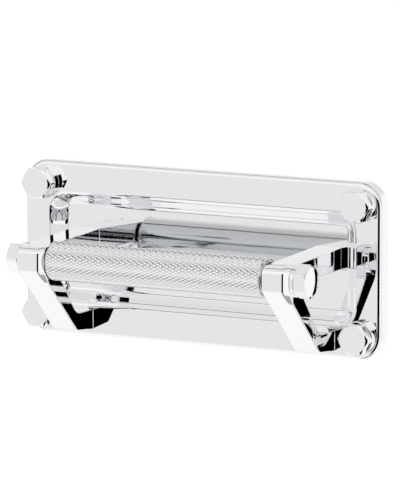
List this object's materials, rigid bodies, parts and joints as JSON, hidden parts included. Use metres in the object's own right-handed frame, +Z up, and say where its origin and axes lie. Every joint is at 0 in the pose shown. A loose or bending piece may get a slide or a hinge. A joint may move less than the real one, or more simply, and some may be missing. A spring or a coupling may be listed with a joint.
{
  "type": "toilet paper holder",
  "caption": "Wall-mounted toilet paper holder: recessed chrome back plate, bracket arms, hexagonal fixings and a knurled spring-pin roller.",
  "frame": {"origin": "centre of the back plate's rear face, on the wall, midway between the four wall studs", "axes": "+X along the roller to the viewer's right, +Y into the wall, +Z up"},
  "size_m": [0.221, 0.0811, 0.097],
  "materials": {
    "chrome": "polished chrome plate",
    "knurled_chrome": "chrome plate over a fine diamond knurl",
    "steel": "plain turned stainless steel",
    "nylon": "natural white nylon"
  },
  "bodies": {
    "bracket": {"back_plate": "chrome", "arm_left": "chrome", "arm_right": "chrome", "end_cap_left": "chrome", "end_cap_right": "chrome", "corner_collar_top_left": "chrome", "corner_collar_top_right": "chrome", "corner_collar_bottom_left": "chrome", "corner_collar_bottom_right": "chrome", "corner_nut_top_left": "chrome", "corner_nut_top_right": "chrome", "corner_nut_bottom_left": "chrome", "corner_nut_bottom_right": "chrome", "arm_screw_upper_left": "steel", "arm_screw_upper_right": "steel", "arm_screw_lower_left": "steel", "arm_screw_lower_right": "steel", "wall_stud_top_left": "steel", "wall_stud_top_right": "steel", "wall_stud_bottom_left": "steel", "wall_stud_bottom_right": "steel", "pin_bush_left": "nylon", "pin_bush_right": "nylon"},
    "roller": {"roller_sleeve": "knurled_chrome", "roller_plug_left": "chrome", "roller_plug_right": "chrome", "fixed_pin": "steel", "spring_seat": "steel", "plunger_spring": "steel"},
    "plunger": {"plunger_pin": "steel"}
  },
  "joints": [
    {"name": "roller_spin", "type": "hinge", "parent": "bracket", "child": "roller", "pos_m": [0, -0.0539, 0], "axis": [1, 0, 0], "continuous": true},
    {"name": "plunger_press", "type": "slide", "parent": "roller", "child": "plunger", "axis": [-1, 0, 0], "range_m": [0, 0.0065], "stiffness_N_per_m": 600, "springref_m": -0.008, "deforming": ["plunger_spring"]}
  ]
}
